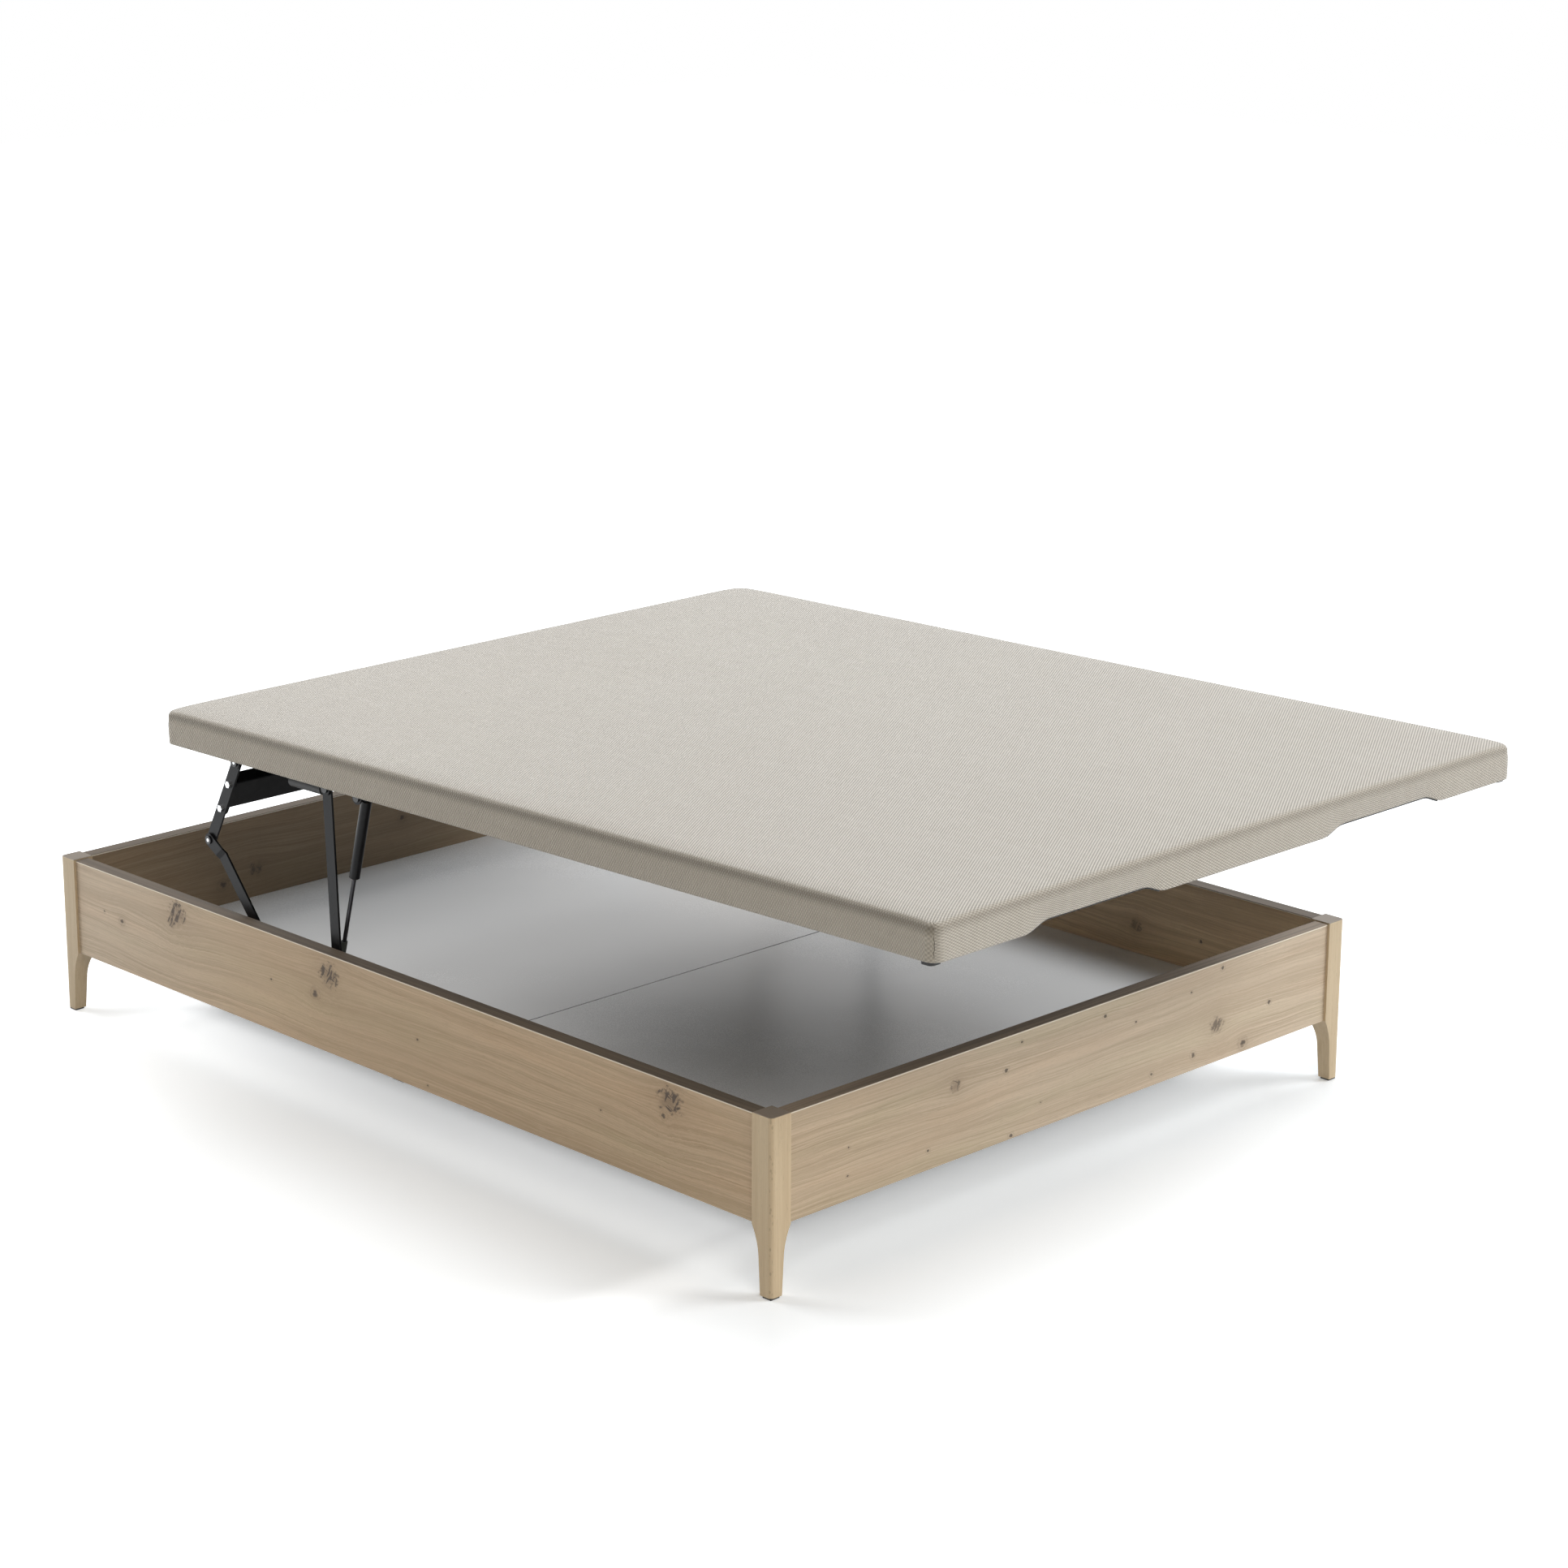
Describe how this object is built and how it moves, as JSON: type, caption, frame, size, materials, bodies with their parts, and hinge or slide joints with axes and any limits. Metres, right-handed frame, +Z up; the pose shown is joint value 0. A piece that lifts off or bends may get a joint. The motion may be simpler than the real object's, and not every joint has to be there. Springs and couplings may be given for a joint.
{
  "type": "ottoman bed",
  "caption": "Ottoman bed: a storage base on corner legs, with an upholstered lid that a linkage with gas struts raises level and towards the foot.",
  "frame": {"origin": "middle of the base on the floor, under the middle leg", "axes": "+X from head to foot along the bed, +Y to the far long side, +Z up"},
  "size_m": [2.353, 1.5, 0.7325],
  "materials": {
    "oak_board": "satin",
    "pale_wood_leg": "satin",
    "white_panel": "matte",
    "glide_plastic": "matte",
    "grey_steel": "satin",
    "zinc": "satin",
    "black_steel": "satin",
    "strut_black": "satin",
    "strut_rod_dark": "satin",
    "black_rubber": "matte",
    "lid_fabric": "matte",
    "padding": "matte",
    "black_cloth": "matte",
    "batten_pine": "matte",
    "deck_board": "matte"
  },
  "bodies": {
    "base": {"leg_foot_far": "pale_wood_leg", "leg_foot_near": "pale_wood_leg", "leg_head_far": "pale_wood_leg", "leg_head_near": "pale_wood_leg", "leg_glides": "glide_plastic", "centre_leg_glide": "glide_plastic", "corner_brackets": "grey_steel", "bracket_bolts": "zinc", "bracket_screws": "zinc", "base_plate_near": "black_steel", "base_plate_far": "black_steel", "base_plate_screws": "zinc", "arm_base_pins": "black_steel", "side_board_near": "oak_board", "side_board_far": "oak_board", "foot_board": "oak_board", "head_board": "oak_board", "floor_panel_foot": "white_panel", "floor_panel_head": "white_panel", "floor_cross_tube": "grey_steel", "centre_leg": "grey_steel"},
    "arm_near": {"long_arm_near": "black_steel"},
    "arm_far": {"long_arm_far": "black_steel"},
    "lid": {"lid_cover": "lid_fabric", "lid_pad": "padding", "lid_head_batten": "batten_pine", "lid_foot_batten": "batten_pine", "lid_underside_cloth": "black_cloth", "corner_bumpers": "black_rubber", "rail_screws": "zinc", "lid_side_batten_near": "batten_pine", "lid_side_batten_far": "batten_pine", "lid_rail_near": "black_steel", "lid_rail_far": "black_steel", "stop_buffer_near": "black_rubber", "stop_buffer_far": "black_rubber", "lid_pivot_bolts": "zinc", "lid_deck_head": "deck_board", "lid_deck_foot": "deck_board", "lid_cross_batten_1": "batten_pine", "lid_cross_batten_2": "batten_pine", "lid_cross_batten_3": "batten_pine"},
    "yoke": {"upper_strap_near": "black_steel", "upper_strap_far": "black_steel", "cross_tube": "black_steel", "cross_tube_end_plates": "black_steel", "cross_tube_bolts": "zinc", "knee_rivets": "zinc"},
    "link_near": {"lower_link_near": "black_steel", "link_base_bolt_near": "black_steel"},
    "link_far": {"lower_link_far": "black_steel", "link_base_bolt_far": "black_steel"},
    "strut_body_near": {"strut_cylinder_near": "strut_black"},
    "strut_body_far": {"strut_cylinder_far": "strut_black"},
    "strut_rod_near": {"strut_rod_near": "strut_rod_dark", "strut_rod_fitting_near": "strut_rod_dark"},
    "strut_rod_far": {"strut_rod_far": "strut_rod_dark", "strut_rod_fitting_far": "strut_rod_dark"}
  },
  "joints": [
    {"name": "lift", "type": "hinge", "parent": "base", "child": "arm_near", "pos_m": [-0.17886, -0.705, 0.22786], "axis": [0, -1, 0], "range_deg": [0, 75.52]},
    {"name": "arm_far_hinge", "type": "hinge", "parent": "base", "child": "arm_far", "pos_m": [-0.17886, 0.705, 0.22786], "axis": [0, -1, 0], "range_deg": [0, 75.57]},
    {"name": "lid_hinge", "type": "hinge", "parent": "arm_near", "child": "lid", "pos_m": [-0.19523, -0.705, 0.61367], "axis": [0, -1, 0], "range_deg": [-76.84, 0]},
    {"name": "yoke_hinge", "type": "hinge", "parent": "lid", "child": "yoke", "pos_m": [-0.46616, 0, 0.60766], "axis": [0, -1, 0], "range_deg": [0, 98.13]},
    {"name": "knee_hinge_near", "type": "hinge", "parent": "yoke", "child": "link_near", "pos_m": [-0.55577, -0.705, 0.43842], "axis": [0, -1, 0], "range_deg": [-52.08, 0]},
    {"name": "strut_hinge_near", "type": "hinge", "parent": "lid", "child": "strut_body_near", "pos_m": [-0.10325, -0.686, 0.61571], "axis": [0, -1, 0], "range_deg": [0, 92.69]},
    {"name": "strut_slide_near", "type": "slide", "parent": "strut_body_near", "child": "strut_rod_near", "axis": [0.261, 0, 0.9654], "range_m": [0, 0.11649]},
    {"name": "knee_hinge_far", "type": "hinge", "parent": "yoke", "child": "link_far", "pos_m": [-0.55577, 0.705, 0.43842], "axis": [0, -1, 0], "range_deg": [-52.08, 0]},
    {"name": "strut_hinge_far", "type": "hinge", "parent": "lid", "child": "strut_body_far", "pos_m": [-0.10325, 0.686, 0.61571], "axis": [0, -1, 0], "range_deg": [0, 92.69]},
    {"name": "strut_slide_far", "type": "slide", "parent": "strut_body_far", "child": "strut_rod_far", "axis": [0.261, 0, 0.9654], "range_m": [0, 0.11649]}
  ],
  "couplings": [
    {"joint": "arm_far_hinge", "follows": "lift", "ratio": 1},
    {"joint": "lid_hinge", "follows": "lift", "ratio": -1.0168},
    {"joint": "yoke_hinge", "follows": "lift", "ratio": 1.2988},
    {"joint": "knee_hinge_near", "follows": "lift", "ratio": -0.689},
    {"joint": "strut_hinge_near", "follows": "lift", "ratio": 1.2268},
    {"joint": "strut_slide_near", "follows": "lift", "m_per_rad": 0.088},
    {"joint": "knee_hinge_far", "follows": "lift", "ratio": -0.689},
    {"joint": "strut_hinge_far", "follows": "lift", "ratio": 1.2268},
    {"joint": "strut_slide_far", "follows": "lift", "m_per_rad": 0.088}
  ]
}
